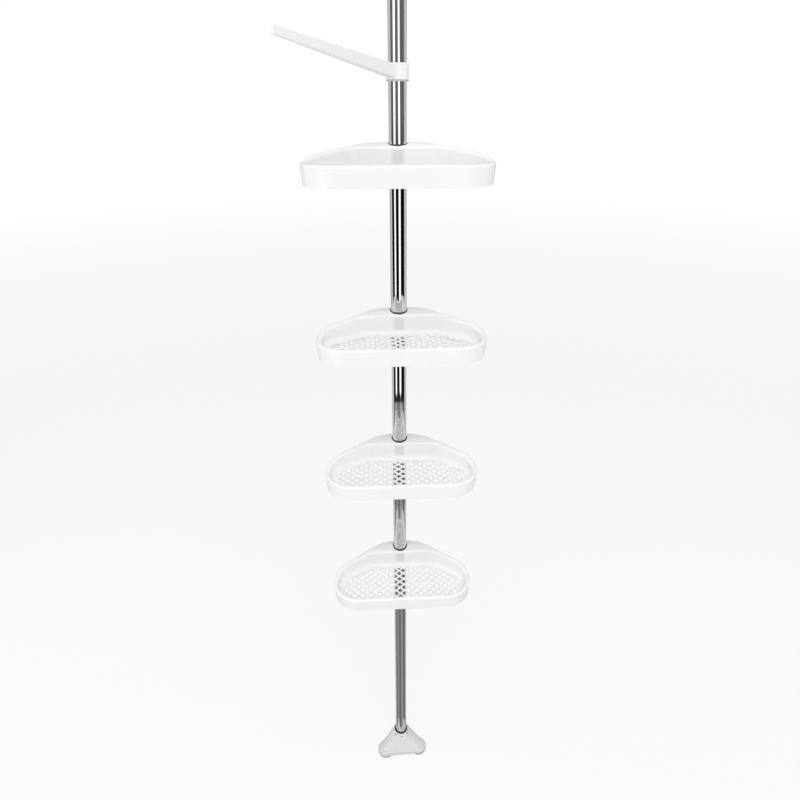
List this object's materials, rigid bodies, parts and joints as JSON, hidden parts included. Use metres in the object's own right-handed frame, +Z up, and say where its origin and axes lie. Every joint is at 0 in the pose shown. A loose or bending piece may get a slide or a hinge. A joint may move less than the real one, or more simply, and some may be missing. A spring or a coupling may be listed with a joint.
{
  "type": "tension pole shower caddy",
  "caption": "Corner shower caddy: white gridded trays and a towel arm on a chrome pole that a spring braces between floor and ceiling.",
  "frame": {"origin": "on the floor, on the pole's axis, under the base foot's rear pad", "axes": "+Z up along the pole, -Y towards the room and the trays' front rims, +X to the right seen from the room"},
  "size_m": [0.2617, 0.2359, 2.1844],
  "materials": {
    "white_plastic": "glossy moulded white",
    "chrome_tube": "polished chrome",
    "black_rubber": "matt soft rubber",
    "dark_plastic": "satin dark grey",
    "grey_plastic": "matt moulded grey",
    "bare_steel": "plain zinc-coated steel"
  },
  "bodies": {
    "base": {"base_foot": "white_plastic", "base_foot_grommet": "black_rubber", "base_foot_pads": "black_rubber"},
    "pole": {"lower_tube": "chrome_tube", "middle_tube": "chrome_tube", "upper_tube": "chrome_tube", "lower_tube_joint": "bare_steel", "upper_tube_joint": "bare_steel", "lower_tube_plug": "grey_plastic", "spring_seat": "grey_plastic", "spring_seat_pin": "bare_steel", "guide_bush": "grey_plastic", "tension_spring": "bare_steel"},
    "tension_section": {"tension_tube": "chrome_tube", "tension_tube_stop": "grey_plastic", "tension_tube_plug": "grey_plastic"},
    "ceiling": {"ceiling_foot": "white_plastic", "ceiling_foot_grommet": "black_rubber", "ceiling_foot_pads": "black_rubber"},
    "collet_1": {"tray_1_collet": "dark_plastic"},
    "tray_1": {"tray_1": "white_plastic"},
    "collet_2": {"tray_2_collet": "dark_plastic"},
    "tray_2": {"tray_2": "white_plastic"},
    "collet_3": {"tray_3_collet": "dark_plastic"},
    "tray_3": {"tray_3": "white_plastic"},
    "collet_4": {"tray_4_collet": "dark_plastic"},
    "tray_4": {"tray_4": "white_plastic"},
    "arm_bush": {"towel_arm_bush": "grey_plastic"},
    "arm": {"towel_arm": "white_plastic"}
  },
  "joints": [
    {"name": "pole_swivel", "type": "hinge", "parent": "base", "child": "pole", "pos_m": [0, 0, 0.0102], "axis": [0, 0, 1], "continuous": true},
    {"name": "tension_slide", "type": "slide", "parent": "pole", "child": "tension_section", "axis": [0, 0, 1], "range_m": [-0.06, 0], "stiffness_N_per_m": 1200, "springref_m": 0.02, "deforming": ["tension_spring"]},
    {"name": "ceiling_foot_swivel", "type": "hinge", "parent": "tension_section", "child": "ceiling", "pos_m": [0, 0, 2.1742], "axis": [0, 0, 1], "continuous": true},
    {"name": "tray_1_slide", "type": "slide", "parent": "pole", "child": "collet_1", "axis": [0, 0, 1], "range_m": [-0.095, 0.035]},
    {"name": "tray_1_swivel", "type": "hinge", "parent": "collet_1", "child": "tray_1", "pos_m": [0, 0, 1.3408], "axis": [0, 0, 1], "continuous": true},
    {"name": "tray_2_slide", "type": "slide", "parent": "pole", "child": "collet_2", "axis": [0, 0, 1], "range_m": [-0.092, 0.095]},
    {"name": "tray_2_swivel", "type": "hinge", "parent": "collet_2", "child": "tray_2", "pos_m": [0, 0, 1.0947], "axis": [0, 0, 1], "continuous": true},
    {"name": "tray_3_slide", "type": "slide", "parent": "pole", "child": "collet_3", "axis": [0, 0, 1], "range_m": [-0.095, 0.092]},
    {"name": "tray_3_swivel", "type": "hinge", "parent": "collet_3", "child": "tray_3", "pos_m": [0, 0, 0.8549], "axis": [0, 0, 1], "continuous": true},
    {"name": "tray_4_slide", "type": "slide", "parent": "pole", "child": "collet_4", "axis": [0, 0, 1], "range_m": [-0.53, 0.095]},
    {"name": "tray_4_swivel", "type": "hinge", "parent": "collet_4", "child": "tray_4", "pos_m": [0, 0, 0.6033], "axis": [0, 0, 1], "continuous": true},
    {"name": "towel_arm_slide", "type": "slide", "parent": "pole", "child": "arm_bush", "axis": [0, 0, 1], "range_m": [-0.035, 0.45]},
    {"name": "towel_arm_swivel", "type": "hinge", "parent": "arm_bush", "child": "arm", "pos_m": [0, 0, 1.452], "axis": [0, 0, 1], "continuous": true}
  ]
}
